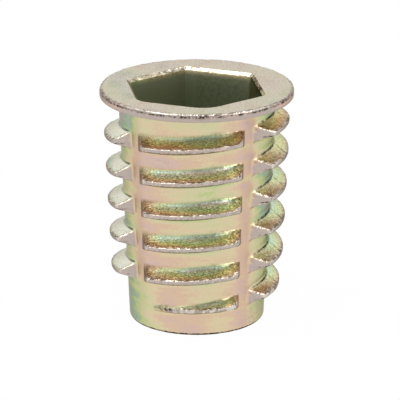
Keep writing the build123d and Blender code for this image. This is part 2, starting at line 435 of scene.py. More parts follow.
# %% Top face and socket rings
MOUTH_STEPS = np.array([[0.33, 0.0], [0.30, 0.01], [0.27, 0.035], [0.15, 0.15], [0.03, 0.27],
                        [0.01, 0.30], [0.0, 0.34]])
WALL_DEPTHS = np.array([0.9, 2.0, 3.2, 4.4, 5.6, 6.8, 7.6, 7.9, HEX_DEPTH])
FLOOR_ROUND = 0.1
face_shares = np.array([0.06, 0.16, 0.32, 0.5, 0.68, 0.84, 0.95, 0.985])
rim_edge = np.full(COLUMNS, rim_r - RIM_ROUND)
mouth_rings = np.stack([hexagon(HEX_FLATS / 2 + out) for out in MOUTH_STEPS[:, 0]])
face_rings = rim_edge[None, :] + face_shares[:, None] * (mouth_rings[0] - rim_edge)[None, :]
lean = math.tan(math.radians(HEX_DRAFT))
wall_rings = np.stack([hexagon(HEX_FLATS / 2 - lean * depth) for depth in WALL_DEPTHS])
wall_rings[-1] -= FLOOR_ROUND
socket_r = np.concatenate([face_rings, mouth_rings, wall_rings])
face_z = np.full(len(face_shares), LENGTH)
socket_z = np.concatenate([face_z, LENGTH - MOUTH_STEPS[:, 1], LENGTH - WALL_DEPTHS])
socket_share = np.concatenate([face_shares, np.ones(len(socket_z) - len(face_shares))])
print("socket: %.1f mm across flats, %.1f mm deep" % (HEX_FLATS, HEX_DEPTH))

# %% [markdown]
# ## The machine thread
# Below the socket the bore has a tapped metric thread, 10 mm across with a pitch of 1.5 mm. It shows
# only from above and below, but a smooth hole would be wrong there. It is again a height field: a
# triangle wave in the offset from the helix, with its peaks cut flat, and the cone of the socket and the
# bevel at the foot cut into it.

# %% Bore surface
TAP_PITCH, TAP_DEPTH, TAP_FIRST_Z, TAP_ROUND = 1.5, 0.8, 0.4, 0.08
GROOVE_EDGE, GROOVE_FLOOR, TAP_STARTS = TAP_PITCH * 0.375, TAP_PITCH * 0.0625, (0.1, 0.7)
FLOOR_Z = LENGTH - HEX_DEPTH
tap_offsets = TAP_PITCH * np.array([-0.42, -0.33, -0.22, -0.12, -0.06, 0.06, 0.12, 0.22, 0.33, 0.42])


def bore_surface(z, offset):
    """Radius of the tapped bore: the core radius plus the depth of a sixty-degree groove, or the cone of the
    socket or the bevel at the foot where they are wider."""
    groove = ramp(np.abs(offset), GROOVE_EDGE, GROOVE_FLOOR)
    tapped = BORE_RADIUS + TAP_DEPTH * groove * ramp(z, *TAP_STARTS)
    cone, bevel = FLOOR_HOLE - (FLOOR_Z - z), BORE_RADIUS + BORE_BEVEL - z
    return soft_max(tapped, np.maximum(cone, bevel), TAP_ROUND)


_, bore_height, bore_offset = helical_rows(
    bore_columns, TAP_FIRST_Z, TAP_PITCH, tap_offsets, 0.0, FLOOR_Z)
bore_radius = bore_surface(bore_height, (bore_offset + TAP_PITCH / 2) % TAP_PITCH - TAP_PITCH / 2)
print("bore: radius from %.2f to %.2f mm" % (bore_radius.min(), bore_radius.max()))

# %% [markdown]
# ## Sewing the grid together
# Every block of rows becomes points by wrapping its radii round the axis. The faces are whole arrays of
# point numbers: ring to ring on the plain rows, helical faces on barrel and bore, and two fans where the
# outside meets the bore, which has a fifth of its columns. The order of the points is always round and
# then along the path, so that every face looks outward.

# %% Points of all blocks


def wrap(angles, radius, z):
    """Points from cylinder coordinates: radius times cosine and sine of the angle, and the height."""
    turned = np.radians(angles)
    flat = np.broadcast_arrays(radius * np.cos(turned), radius * np.sin(turned), z)
    return np.stack(flat, axis=-1).reshape(-1, 3)


RIDGE, FOOT, FLANGE, SOCKET, BORE = 0, 3, 4, 5, 6
socket_move = np.repeat(socket_share, COLUMNS)[:, None] * HEX_SHIFT
blocks = [
    wrap(columns[:, None], ridge_radius, ridge_height),
    wrap(columns, foot_r, BARREL_LOW_Z),
    wrap(columns, neck_r, BARREL_HIGH_Z),
    wrap(columns[None, :], foot_profile[:, :1], foot_profile[:, 1:]),
    wrap(columns[None, :], flange_profile[:, :1], flange_profile[:, 1:]),
    wrap(columns[None, :], socket_r, socket_z[:, None]) + socket_move,
    wrap(bore_columns[:, None], bore_radius, bore_height),
    wrap(bore_columns, BORE_RADIUS + BORE_BEVEL, 0.0),
    wrap(bore_columns, FLOOR_HOLE, FLOOR_Z),
]
sizes = np.array([len(block) for block in blocks])
firsts = np.cumsum(sizes) - sizes
ridge_part, foot_part, flange_part, socket_part = (
    slice(firsts[block], firsts[block] + sizes[block]) for block in (RIDGE, FOOT, FLANGE, SOCKET))
points = np.concatenate(blocks)
print("points before tidying: %d" % len(points))

# %% Faces of all blocks


def ring_faces(rings):
    """Quads between neighbouring rings of point numbers; the last point of a ring is joined to its first."""
    lower, upper = rings[:-1], rings[1:]
    corners = [lower, np.roll(lower, -1, axis=-1), np.roll(upper, -1, axis=-1), upper]
    return np.stack(corners, axis=-1).reshape(-1, 4)


def fan_faces(many, few):
    """Triangles between a ring and another with fewer points: each few point takes a run of the many, and
    one triangle at the end of each run reaches on to the next few point."""
    owner = np.repeat(few, len(many) // len(few))
    runs = np.stack([many, np.roll(many, -1), owner], axis=-1)
    ends = np.stack([np.roll(many, -1), np.roll(owner, -1), owner], axis=-1)[BORE_SHARE - 1::BORE_SHARE]
    return np.concatenate([runs, ends])


quads_ridge, thin_ridge, low_ring, high_ring = helical_faces(
    ridge_height, BARREL_LOW_Z, BARREL_HIGH_Z, len(ridge_offsets), firsts[RIDGE])
quads_bore, thin_bore, bore_low, bore_high = helical_faces(
    bore_height, 0.0, FLOOR_Z, len(tap_offsets), firsts[BORE])
foot_rings, flange_rings, socket_rings = (
    firsts[block] + np.arange(sizes[block]).reshape(-1, COLUMNS) for block in (FOOT, FLANGE, SOCKET))
quads = np.concatenate([
    ring_faces(np.concatenate([foot_rings, low_ring[None, :]])),
    ring_faces(np.concatenate([high_ring[None, :], flange_rings, socket_rings])),
    quads_ridge, quads_bore[:, ::-1]])
thirds = np.concatenate([thin_ridge, thin_bore[:, ::-1], fan_faces(socket_rings[-1], bore_high),
                         fan_faces(foot_rings[0], bore_low)[:, ::-1]])
print("faces: %d quads and %d triangles" % (len(quads), len(thirds)))

# %% [markdown]
# ## What the surface remembers
# A plated casting isn't even. The coat differs round the part, the crests and rims are rubbed bright, and
# painted shade darkens the roots and corners. Such things follow the shape, so they are worked out from it, as
# one number per point, and kept with the mesh as attributes that the material reads. Painting by hand would be
# lost as soon as the shape changed. The first is the thickness of the film: tables give it at angles counted
# from the front and at heights, and a few patches are thicker or thinner. The table round the front also holds
# a painted sheen: the colour shift that the film shows with the viewing angle is painted on as a fixed colour
# round the part.

# %% Film on the barrel
# This table holds the film's thickness together with a painted sheen, the film's colour shift with the viewing
# angle painted on round the front.
FILM_ANGLES = (-180, -140, -105, -80, -66, -59, -52, -44, -32, -10, 12, 30, 41, 52, 62, 78, 100, 140)
FILM_AND_SHEEN_ROUND = (0.45, 0.62, 0.30, 0.06, 0.14, 0.30, 0.70, 0.80, 0.68, 0.54, 0.44, 0.56, 0.78, 0.34, 0.20, 0.10,
              0.30, 0.62)
FILM_HEIGHTS = (0.0, 5.0, 9.0, 12.3, 15.8, 19.2, 22.5)
FILM_RISE = (0.10, 0.08, 0.06, -0.02, 0.0, 0.14, 0.0)
LEFT_HEIGHTS, LEFT_RISE = (0.0, 4.0, 8.0, 16.0, 20.5), (0.0, 0.06, 0.22, 0.24, 0.0)
LEFT_FROM, RIGHT_FROM, RIGHT_RISE, RIGHT_HEIGHTS = (-52.0, -60.0), (46.0, 60.0), 0.12, (13.0, 4.0)
# Each patch: its change, its middle and reach round the front, the power of its bell, and the heights
# between which it grows.
FILM_PATCHES = ((-0.44, -45.0, 14.0, 2, 7.5, 4.0), (0.16, -2.0, 22.0, 2, 3.2, 1.0),
                (-0.32, -47.0, 15.0, 4, 20.0, 22.0))
FILM_LIMIT, FACE_DRIFT, FACE_EDGE = 0.75, 0.30, (LENGTH - 0.03, LENGTH - 0.002)
WAVE_SPREAD = (0.75, 1.33)


def read_round(angle, table_angles, table):
    """Value read from a table of angles counted from the front, on straight lines between its entries."""
    return np.interp(angle, table_angles, table, period=FULL_TURN)


def ripple(places, wavelength, waves, seed):
    """Sum of plane sine waves: each has a random direction and phase and a wavelength within a third of the
    one asked for; the sum is divided by the square root of their number, so that it mostly lies between -1
    and 1."""
    chance = np.random.default_rng(seed)
    ways = chance.normal(size=(waves, 3))
    lengths = np.linalg.norm(ways, axis=1, keepdims=True)
    ways *= 2 * math.pi / wavelength * chance.uniform(*WAVE_SPREAD, (waves, 1)) / lengths
    return np.sin(places @ ways.T + chance.uniform(0, 2 * math.pi, waves)).sum(axis=1) / math.sqrt(waves)


around = np.degrees(np.arctan2(points[:, 1], points[:, 0]))
round_front = turn_between(around, FRONT_ANGLE)
outward, height = np.hypot(points[:, 0], points[:, 1]), points[:, 2]
on_face, on_right = ease(height, *FACE_EDGE), ease(round_front, *RIGHT_FROM)
film = read_round(round_front, FILM_ANGLES, FILM_AND_SHEEN_ROUND) + np.interp(height, FILM_HEIGHTS, FILM_RISE)
film += RIGHT_RISE * on_right * ease(height, *RIGHT_HEIGHTS)
film += np.interp(height, LEFT_HEIGHTS, LEFT_RISE) * ease(round_front, *LEFT_FROM)
for change, middle, reach, power, start, full in FILM_PATCHES:
    film += change * bell(round_front, middle, reach, power) * ease(height, start, full)
film = np.minimum(film, FILM_LIMIT) + FACE_DRIFT * ripple(points, 9.0, 10, 61) * on_face
print("film on the barrel: from %.2f to %.2f" % (film.min(), film.max()))

# %% [markdown]
# The flanks drained in another way than the barrel, so they have a table of their own, and like the barrel's
# table it also holds a painted sheen. Their film gets thicker towards the crest and at the left of the windows.
# The crests and cut ends carry the thickest film, a line of painted shade, film moved towards green, runs along
# the barrel below each crest, and the side of the rim and the bevel of the mouth have one thickness each.

# %% Film on ridge, rim and mouth
# The table of the flanks also holds a painted sheen besides the film's thickness.
FLANK_ANGLES = (-180, -140, -100, -50, -46, -42, -36, -28, -14, 0, 10, 22, 34, 42, 52, 65, 80, 100, 140)
FLANK_FILM_AND_SHEEN = (0.2, 0.1, -0.1, -0.1, 0.36, 0.56, 0.50, 0.22, 0.15, 0.12, 0.12, 0.22, 0.40, 0.58, 0.54, 0.46,
               0.30, 0.22, 0.2)
FLANK_CLIMB, FLANK_LESS, TOP_RISE, TOP_HEIGHTS = 0.30, 0.10, 0.14, (20.5, 22.0)
BROWN, BROWN_SPAN, BROWN_STANDS = 0.36, (-48.0, -40.0, -4.0, 24.0), (0.45, 0.95)
LOW_BROWN, LOW_SPOT, LOW_HEIGHTS = 0.18, (-43.0, 6.0), (17.0, 12.0)
UNDER_CREST_PAINTED_SHADE, LINE_OFFSET, LINE_SINKS, LINE_REACH = 0.20, -0.40, 0.55, 0.12
LINE_HALF_ANGLE, LINE_SHARE = 43.0, 0.1
CREST_FILM, RIM_FILM, MOUTH_FILM = 1.10, 0.95, 0.52
RIM_BAND, RIM_SIDE, MOUTH_BEVEL = rim_r - 0.6, rim_r - 0.3, (0.02, 0.29)

sideways, ridge_z, offset = round_front[ridge_part], height[ridge_part], ridge_offset.ravel()
stands, lead = ridge_values[0].ravel(), ridge_values[1].ravel()
flank, on_crest, ends, rubbed, ridge_painted_shade = (mask.ravel() for mask in ridge_masks(ridge_offset, *ridge_values))
# Painted shade: below each crest the film is moved towards green, for the shade under the ridge.
line = bell(offset, LINE_OFFSET - LINE_SINKS * np.clip(lead, 0.0, 1.0), LINE_REACH)
line = line * (np.abs(sideways) < LINE_HALF_ANGLE) * (lead > LINE_SHARE)
flank_film = read_round(sideways, FLANK_ANGLES, FLANK_FILM_AND_SHEEN) + FLANK_CLIMB * stands - FLANK_LESS
flank_film += TOP_RISE * on_right[ridge_part] * ease(ridge_z, *TOP_HEIGHTS)
flank_film += BROWN * within(sideways, *BROWN_SPAN) * ease(stands, *BROWN_STANDS)
flank_film += LOW_BROWN * bell(sideways, *LOW_SPOT) * ease(ridge_z, *LOW_HEIGHTS)
film[ridge_part] -= UNDER_CREST_PAINTED_SHADE * line
film[ridge_part] += (flank_film - film[ridge_part]) * flank
film[ridge_part] += (CREST_FILM - film[ridge_part]) * np.maximum(ends, on_crest)
rim_side = ease(outward[flange_part], RIM_BAND, RIM_SIDE)
film[flange_part] += (RIM_FILM - film[flange_part]) * rim_side
below_face = LENGTH - height[socket_part]
in_bevel = (below_face > MOUTH_BEVEL[0]) & (below_face < MOUTH_BEVEL[1])
film[socket_part] += (MOUTH_FILM - film[socket_part]) * in_bevel
print("film on the whole part: from %.2f to %.2f" % (film.min(), film.max()))

# %% [markdown]
# In the drum the castings rub against each other, and the coat goes first from the edges: the crests of
# the ridge and its cut ends, the upper edge of the rim, and the far bevel of the mouth. It never goes
# evenly, so the wear is weakened in patches.

# %% Rubbed places
LEAD_WEAR, MOUTH_WEAR, BACK_STEEPNESS = 0.7, 0.7, 2.6
RIM_TOP = (LENGTH - 0.18, LENGTH - 0.08)


def patchy(least, wavelength, waves, seed, start, full):
    """Factor that changes over the skin between a least share and 1: a smooth step of a ripple."""
    return least + (1.0 - least) * ease(ripple(points, wavelength, waves, seed), start, full)


wear = np.zeros(len(points))
on_lead = np.tile(ridge_turn, COLUMNS) < 0
wear[ridge_part] = np.maximum(rubbed, LEAD_WEAR * on_crest * on_lead)
wear[flange_part] = rim_side * ease(height[flange_part], *RIM_TOP)
at_back = np.clip(-BACK_STEEPNESS * np.cos(np.radians(round_front[socket_part])), 0.0, 1.0)
wear[socket_part] = MOUTH_WEAR * in_bevel * at_back
wear *= patchy(0.55, 5.0, 12, 21, -0.7, 0.5)
print("worn points: %d" % (wear > 0.5).sum())

# %% [markdown]
# The slides are rough on the flanks, where they are hard to polish, and the casting copies that as a grain. The
# shade attribute is painted light and shade: it makes stretches of the flanks lighter and darker by turns, and
# darker at their roots. The face of the flange is matte in patches, the socket is darkened with depth by
# painted shade except at its right wall, where painted light lifts it, and beside the strips the skin is dull.

# %% Grain, painted light and shade, matte face, socket and strips
GRAIN_ROUND = (0.5, 0.3, 0.2, 0.2, 0.8, 1, 1, 0.9, 0.8, 0.9, 0.9, 0.9, 1, 1, 0.7, 0.5, 0.4, 0.35, 0.5)
# Painted light and shade on the flanks round the part: larger numbers paint a stretch lighter, smaller ones
# darker.
FLANK_SHADE = (1, 1, 1.1, 1.1, 0.92, 0.92, 1.0, 1.18, 1.18, 0.92, 0.94, 1.08, 1.10, 0.92, 1.1, 1.35, 1.42,
               1.35, 1)
GRAIN_STANDS, CREST_GRAIN, END_GRAIN, FACE_GRAIN = (0.1, 0.5), 0.25, 0.08, 0.28
SHADE_MORE, SHADE_CLIMB, ROOT_SHADE, WINDOW_HALF = 0.11, -0.14, 0.28, (52.0, 44.0)
PALE_BAND, PALE_OFFSET, PALE_STANDS = 0.6, 0.3, (0.01, 0.05, 0.2, 0.5)
SOCKET_DEPTHS, RIGHT_WALL, WALL_PAINTED_LIGHT, STRIP = (0.3, 0.6), (99.0, 26.0, 6), 0.8, (0.0, 6.5, 4)

cast, grain, shade = (np.zeros(len(points)) for _ in range(3))
cast[ridge_part] = flank
grain[ridge_part] = flank * read_round(sideways, FLANK_ANGLES, GRAIN_ROUND)
grain[ridge_part] *= 0.5 + 0.5 * ease(stands, *GRAIN_STANDS)
grain[ridge_part] += CREST_GRAIN * on_crest + END_GRAIN * ends * (1.0 - on_crest)
in_window, at_root = ease(np.abs(sideways), *WINDOW_HALF), ease(stands, PALE_STANDS[3], PALE_STANDS[2])
# Painted light and shade on the flanks, darker towards the crest, and painted shade at the roots inside the
# windows.
shade[ridge_part] = read_round(sideways, FLANK_ANGLES, FLANK_SHADE) + SHADE_MORE + SHADE_CLIMB * stands
shade[ridge_part] *= 1.0 - ROOT_SHADE * in_window * at_root
matte = on_face * patchy(0.78, 2.0, 14, 51, 0.9, -0.2)
grain = np.maximum(grain, FACE_GRAIN * matte)
# Painted shade: this mask darkens the socket's walls from a little below the face down; painted light: the
# right wall gets less of it.
socket = ease(LENGTH - height, *SOCKET_DEPTHS)
right_wall = bell(round_front[socket_part], *RIGHT_WALL)
socket[socket_part] *= 1.0 - WALL_PAINTED_LIGHT * right_wall
socket[:firsts[SOCKET]] = 0.0
beside_strip = np.abs(turn_between(around[:, None], PARTING_ANGLES[None, :])).min(axis=1)
strip = bell(beside_strip, *STRIP)
pale_band = in_window * (offset > PALE_OFFSET) * within(stands, *PALE_STANDS)
strip[ridge_part] = np.maximum(strip[ridge_part], PALE_BAND * pale_band)
strip[sizes[RIDGE]:] = 0.0
print("cast flanks: %d points, matte face: %d points" % ((cast > 0.5).sum(), (matte > 0.5).sum()))

# %% [markdown]
# Painted shade darkens the skin under the crests, in the corners before the walls of the strips, along the
# roots on the right, along a line across the right flanks, round the foot where it meets the floor, along the
# side of the rim under its upper edge with dark crescents at its sides, and in the right bevel and on the right
# back wall of the socket. Besides that the crests are darker towards the outlines, the lower barrel on the
# right and the tip of the lead-in ridge are darker, and the left back bevel has darker patches. Most of it
# comes and goes in patches; a few lines are whole.

# %% Painted shade and darkening
PAINTED_SHADE_STRENGTH, LEAST_PAINTED_SHADE, FOOT_PAINTED_SHADOW, FOOT_HEIGHTS = 1.5, 0.15, 1.9, (0.30, 0.19)
RIM_LINE_Z, RIM_LINE, RIM_LINE_MORE, RIM_SPOT = LENGTH - 0.27, 0.09, 0.04, (6.0, 20.0)
SIDES_MIDDLE, SIDES, SIDES_SHARE = 4.0, (58.0, 12.0, 4), 0.60
ABOVE_OFFSET, ABOVE_STANDS = 0.5, (0.004, 0.03)
RIGHT_ROOT, RIGHT_STANDS, RIGHT_SPAN = 0.85, (0.06, 0.06), (48.0, 56.0, 84.0, 92.0)
WINDOW_ROOT, WINDOW_STANDS, WINDOW_SPAN = 0.5, (0.08, 0.08), (6.0, 16.0, 42.0, 44.0)
SHADE_LINE, SHADE_LINE_LEAN, SHADE_LINE_SPOT, SHADE_LINE_STANDS = 0.75, 6.0, (83.0, 1.0), (0.05, 0.2)
CREST_RIGHT, CREST_LEFT, CREST_SPAN = 0.5, 0.35, (62.0, 76.0, 100.0, 110.0)
PILOT, PILOT_SPAN, PILOT_HEIGHTS = 0.2, (44.0, 54.0, 74.0, 84.0), (4.2, 2.8)
TIP, TIP_SHARE, TIP_OFFSET = 1.2, (0.13, 0.09), (0.10, 0.26)
BEVEL_DEPTHS, BEVEL_END, BACK_DEPTHS = (0.01, 0.03), 0.4, (0.4, 0.9)
BACK_RIGHT, RIGHT_SPOT, BACK_LEFT, LEFT_SPOT = 0.20, (158.0, 30.0, 8), 0.45, (39.0, 30.0, 8)

painted_shade_and_darkening = np.zeros(len(points))
# Painted shade under the crests and before the walls, and a dark line along the side of the rim under its upper
# edge, widest at the front.
painted_shade_and_darkening[ridge_part] = PAINTED_SHADE_STRENGTH * ridge_painted_shade
rim_line = RIM_LINE + RIM_LINE_MORE * bell(round_front[flange_part], *RIM_SPOT)
painted_shade_and_darkening[flange_part] = PAINTED_SHADE_STRENGTH * rim_side * bell(height[flange_part], RIM_LINE_Z, rim_line)
patches = patchy(0.0, 0.8, 16, 33, -0.8, 0.3) * patchy(0.5, 4.0, 12, 41, -0.7, 0.3)
# Painted shade: at the two sides of the rim the dark line is kept whole, as dark crescents.
at_sides = bell(np.abs(round_front - SIDES_MIDDLE), *SIDES) * (outward > RIM_BAND)
patches = np.maximum(patches, SIDES_SHARE * at_sides)
painted_shade_and_darkening *= LEAST_PAINTED_SHADE + (1.0 - LEAST_PAINTED_SHADE) * patches
above = (offset > ABOVE_OFFSET) * ease(stands, *ABOVE_STANDS)
# Painted shade along the roots on the right and at the right ends of the windows, and a painted shade line
# across the right flanks; besides that the crests are darker towards the outlines, the lower barrel darker on
# the right, and the tip of the lead-in ridge dark.
painted_shade_and_darkening[ridge_part] = np.maximum.reduce([
    painted_shade_and_darkening[ridge_part],
    RIGHT_ROOT * bell(stands, *RIGHT_STANDS) * above * within(sideways, *RIGHT_SPAN),
    WINDOW_ROOT * bell(stands, *WINDOW_STANDS) * above * within(sideways, *WINDOW_SPAN),
    SHADE_LINE * bell(sideways + SHADE_LINE_LEAN * stands, *SHADE_LINE_SPOT) * flank * ease(stands, *SHADE_LINE_STANDS),
    np.where(sideways > 0, CREST_RIGHT, CREST_LEFT) * on_crest * within(np.abs(sideways), *CREST_SPAN),
    PILOT * within(sideways, *PILOT_SPAN) * ease(ridge_z, *PILOT_HEIGHTS),
    TIP * bell(lead, *TIP_SHARE) * bell(offset, *TIP_OFFSET) * on_lead])
# Painted shadow round the foot, where it meets the floor.
painted_shade_and_darkening[foot_part] = FOOT_PAINTED_SHADOW * ease(height[foot_part], *FOOT_HEIGHTS)
# Painted shade in the right bevel of the mouth and deep on the right back wall; darker patches on the left back
# bevel.
on_bevel = ease(below_face, *BEVEL_DEPTHS) * (below_face < BEVEL_END)
round_back = turn_between(round_front[socket_part], FULL_TURN / 2)
back_right = bell(round_front[socket_part], *RIGHT_SPOT) * ease(below_face, *BACK_DEPTHS)
back_left = bell(round_back, *LEFT_SPOT) * on_bevel * patches[socket_part]
painted_shade_and_darkening[socket_part] = right_wall * on_bevel + BACK_RIGHT * back_right + BACK_LEFT * back_left
print("points with residue: %d" % (painted_shade_and_darkening > 0.5).sum())

# %% [markdown]
# ## Ripples and dents
# Molten zinc freezes against the die in a few hundredths of a second and leaves a faintly rippled
# skin, and the drum dents the edges. A displacement modifier could do it, but moving the points along
# their normals by a sum of sine waves is simpler, and its seeded directions give the same result each
# time.

# %% Ripples
LONG_RIPPLE, SHORT_RIPPLE, DENT, DENT_INWARD, NO_LENGTH = 0.006, 0.0025, 0.022, 0.8, 1e-12


def outward_normals(places, quads, thirds):
    """Normal of each point: the cross products of its faces' diagonals or sides, added up and made one long."""
    normals = np.zeros_like(places)
    a, b, c, d = places[quads].swapaxes(0, 1)
    np.add.at(normals, quads.ravel(), np.repeat(np.cross(c - a, d - b), 4, axis=0))
    a, b, c = places[thirds].swapaxes(0, 1)
    np.add.at(normals, thirds.ravel(), np.repeat(np.cross(b - a, c - a), 3, axis=0))
    return normals / np.maximum(np.linalg.norm(normals, axis=1, keepdims=True), NO_LENGTH)


normals = outward_normals(points, quads, thirds)
shift = LONG_RIPPLE * ripple(points, 3.5, 14, 3) + SHORT_RIPPLE * ripple(points, 1.2, 14, 5)
shift += DENT * wear * (ripple(points, 0.9, 18, 8) - DENT_INWARD)
points = points + normals * shift[:, None]
points[:, 2] = np.clip(points[:, 2], 0.0, LENGTH)
points[:, :2] *= np.minimum(1.0, rim_r / np.hypot(points[:, 0], points[:, 1]))[:, None]
print("ripples move the skin by up to %.3f mm" % np.abs(shift).max())

# %% [markdown]
# ## The mesh
# Points that no face uses, those of rows held at an end of the barrel, are dropped, and the rest are
# numbered anew. The mesh is filled from flat arrays, the quick way for a hundred thousand points, and the
# attributes are stored on it under plain names.

# %% Mesh and object
SHARP_ANGLE = math.radians(44.0)
remembered = {"film": film, "wear": wear, "matte": matte, "cast": cast, "socket": socket, "painted_shade_and_darkening": painted_shade_and_darkening,
              "grain": grain, "shade": shade, "strip": strip}
used, renumbered = np.unique(np.concatenate([quads.ravel(), thirds.ravel()]), return_inverse=True)
face_sizes = np.concatenate([np.full(len(quads), 4), np.full(len(thirds), 3)])
skin = bpy.data.meshes.new("insert_casting")
skin.vertices.add(len(used))
skin.vertices.foreach_set("co", (points[used] * MM).ravel())
skin.loops.add(len(renumbered))
skin.loops.foreach_set("vertex_index", renumbered)
skin.polygons.add(len(face_sizes))
skin.polygons.foreach_set("loop_start", np.cumsum(face_sizes) - face_sizes)
skin.polygons.foreach_set("use_smooth", np.ones(len(face_sizes), dtype=bool))
skin.update(calc_edges=True)
skin.set_sharp_from_angle(angle=SHARP_ANGLE)
for name, values in remembered.items():
    skin.attributes.new(name, "FLOAT", "POINT").data.foreach_set("value", values[used].astype(np.float32))
print("mesh is sound:", not skin.validate(), "- triangles:", 2 * len(quads) + len(thirds))

casting = put("insert_casting", skin)
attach(casting, "root")
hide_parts("insert_body")

# %% [markdown]
# ## The yellow coat
# The zinc is dipped in a passivating bath, which leaves a clear film some hundreds of nanometres thick.
# Light reflected from its two sides interferes, so the metal shows straw, green, teal, peach and lilac
# where the film is thinner or thicker. The thin-film input of the Principled shader does nothing on a
# bare metal, so the order of colours is written into a colour ramp, and the film attribute, moved a
# little by noise, picks the place on it. A few helpers come first, so that each node takes one line.

# %% Helpers for nodes
ROW_LENGTH, NODE_WIDE, NODE_HIGH = 12, 220, 340


def feed(source, end):
    """Links another node's output to an input, or sets a plain number or colour on that input."""
    if isinstance(source, bpy.types.NodeSocket):
        tree.links.new(source, end)
    else:
        end.default_value = source


def node(kind, inputs=(), **settings):
    """Adds a node to the tree that is being made, sets its properties, and feeds its inputs, given by name or
    number. The nodes stand in rows, in the order in which they are made."""
    row, column = divmod(len(tree.nodes), ROW_LENGTH)
    made_node = tree.nodes.new(kind)
    made_node.location = (column * NODE_WIDE, -row * NODE_HIGH)
    for key, value in settings.items():
        setattr(made_node, key, value)
    for key, source in dict(inputs).items():
        feed(source, made_node.inputs[key])
    return made_node


def reckon(operation, *terms, **settings):
    """Result of a sum on numbers and outputs of other nodes."""
    return node("ShaderNodeMath", enumerate(terms), operation=operation, **settings).outputs[0]


def spread(value, source, target, **settings):
    """Carries the range source of a value over to the range target, and holds it beyond the ends."""
    inputs = dict(zip(("Value", "From Min", "From Max", "To Min", "To Max"), (value, *source, *target)))
    return node("ShaderNodeMapRange", inputs, **settings).outputs["Result"]


def new_material(name):
    """New material with its tree of nodes, and the shader in it."""
    material = bpy.data.materials.new(name)
    material.use_nodes = True
    return material, material.node_tree.nodes["Principled BSDF"]


def srgb(red, green, blue):
    """Linear colour of a display colour written from 0 to 255."""
    shown = np.array([red, green, blue]) / 255.0
    linear = np.where(shown <= 0.04045, shown / 12.92, ((shown + 0.055) / 1.055) ** 2.4)
    return (*linear.tolist(), 1.0)


print("a middle grey is %.3f in linear light" % srgb(128, 128, 128)[0])

# %% Coat material
UNIT = (0.0, 1.0)
coat, shader = new_material("yellow_passivated_zinc")
tree = coat.node_tree
shader.inputs["Metallic"].default_value = 1.0
shader.inputs["Specular Tint"].default_value = (0.56, 0.54, 0.49, 1.0)
place = node("ShaderNodeTexCoord").outputs["Object"]
in_mm = node("ShaderNodeMapping", {"Vector": place, "Scale": (1 / MM, 1 / MM, 1 / MM)}).outputs[0]
of_point = {name: node("ShaderNodeAttribute", attribute_name=name).outputs["Fac"] for name in remembered}


def noise(scale, detail, vector=in_mm, roughness=0.5):
    """Noise from 0 to 1 whose scale is in lumps per millimetre."""
    inputs = {"Vector": vector, "Scale": scale, "Detail": detail, "Roughness": roughness}
    return node("ShaderNodeTexNoise", inputs).outputs["Fac"]


def mixed(factor, below, above, **settings):
    """Mixes two colours by a factor, or multiplies them."""
    inputs = {"Factor": factor, "A": below, "B": above}
    return node("ShaderNodeMix", inputs, data_type="RGBA", **settings).outputs["Result"]


def painted_over(mask, below, colour, share):
    """Mixes a plain colour over the colour below, by a mask times a share."""
    return mixed(reckon("MULTIPLY", mask, share), below, colour)


print("the coat reads %d attributes" % len(of_point))

# %% [markdown]
# The liquid ran down the part when it was lifted out, so the film drifts in upright streaks, and a finer noise
# speckles it. The flanks are cloudier than the barrel and have a ramp of their own. The matte face of the
# flange is whitish, and the walls of the socket, where little light gets in, are painted a darker grey-green as
# painted shade.

# %% Film colour
FILM_COLOURS = ((0.00, srgb(190, 185, 178)), (0.14, srgb(164, 186, 160)), (0.28, srgb(195, 203, 147)),
                (0.42, srgb(211, 206, 164)), (0.56, srgb(220, 203, 166)), (0.70, srgb(219, 190, 163)),
                (0.84, srgb(214, 186, 174)), (1.00, srgb(188, 175, 166)))
FLANK_COLOURS = ((0.00, srgb(232, 230, 214)), (0.14, srgb(188, 211, 188)), (0.28, srgb(199, 210, 162)),
                 (0.44, srgb(208, 196, 156)), (0.60, srgb(194, 164, 127)), (0.80, srgb(164, 124, 98)))
STREAKS, DRIFT, SPECKLE = (0.15, 0.15, 0.80), 0.84, 0.30
FACE_WHITE, SOCKET_PAINTED_SHADE = srgb(255, 249, 236), srgb(163, 169, 144)
streaky = node("ShaderNodeMapping", {"Vector": in_mm, "Scale": STREAKS}).outputs[0]
drift = reckon("MULTIPLY_ADD", noise(1.0, 2.5, streaky, 0.55), DRIFT, -DRIFT / 2)
speckle = reckon("MULTIPLY_ADD", noise(3.2, 3.0), SPECKLE, -SPECKLE / 2)
thickness = reckon("ADD", of_point["film"], drift, use_clamp=True)
thickness = reckon("ADD", thickness, speckle, use_clamp=True)


def film_ramp(colours):
    """Colour read at the thickness of the film, on smooth steps between the colours listed."""
    listed = node("ShaderNodeValToRGB", {"Fac": thickness})
    listed.color_ramp.interpolation = "EASE"
    stops = listed.color_ramp.elements
    for index, (spot, colour) in enumerate(colours):
        stop = stops[index] if index < 2 else stops.new(spot)
        stop.position, stop.color = spot, colour
    return listed.outputs["Color"]


colour = mixed(of_point["cast"], film_ramp(FILM_COLOURS), film_ramp(FLANK_COLOURS))
colour = painted_over(of_point["matte"], colour, FACE_WHITE, 0.70)
# Painted shade: the socket's walls are painted a dark grey-green.
colour = painted_over(of_point["socket"], colour, SOCKET_PAINTED_SHADE, 1.0)
print("film colour: %d colours on the barrel, %d on the flanks" % (len(FILM_COLOURS), len(FLANK_COLOURS)))

# %% [markdown]
# The grain of the flanks is painted as dark specks and light glints, and the shade attribute paints light and
# shade that make whole stretches lighter or darker. Over that lies what happened later: rubbed edges of paler
# zinc with painted shade in the nicks in them, and at last the painted shade and darkening, which a noise
# crumbles.

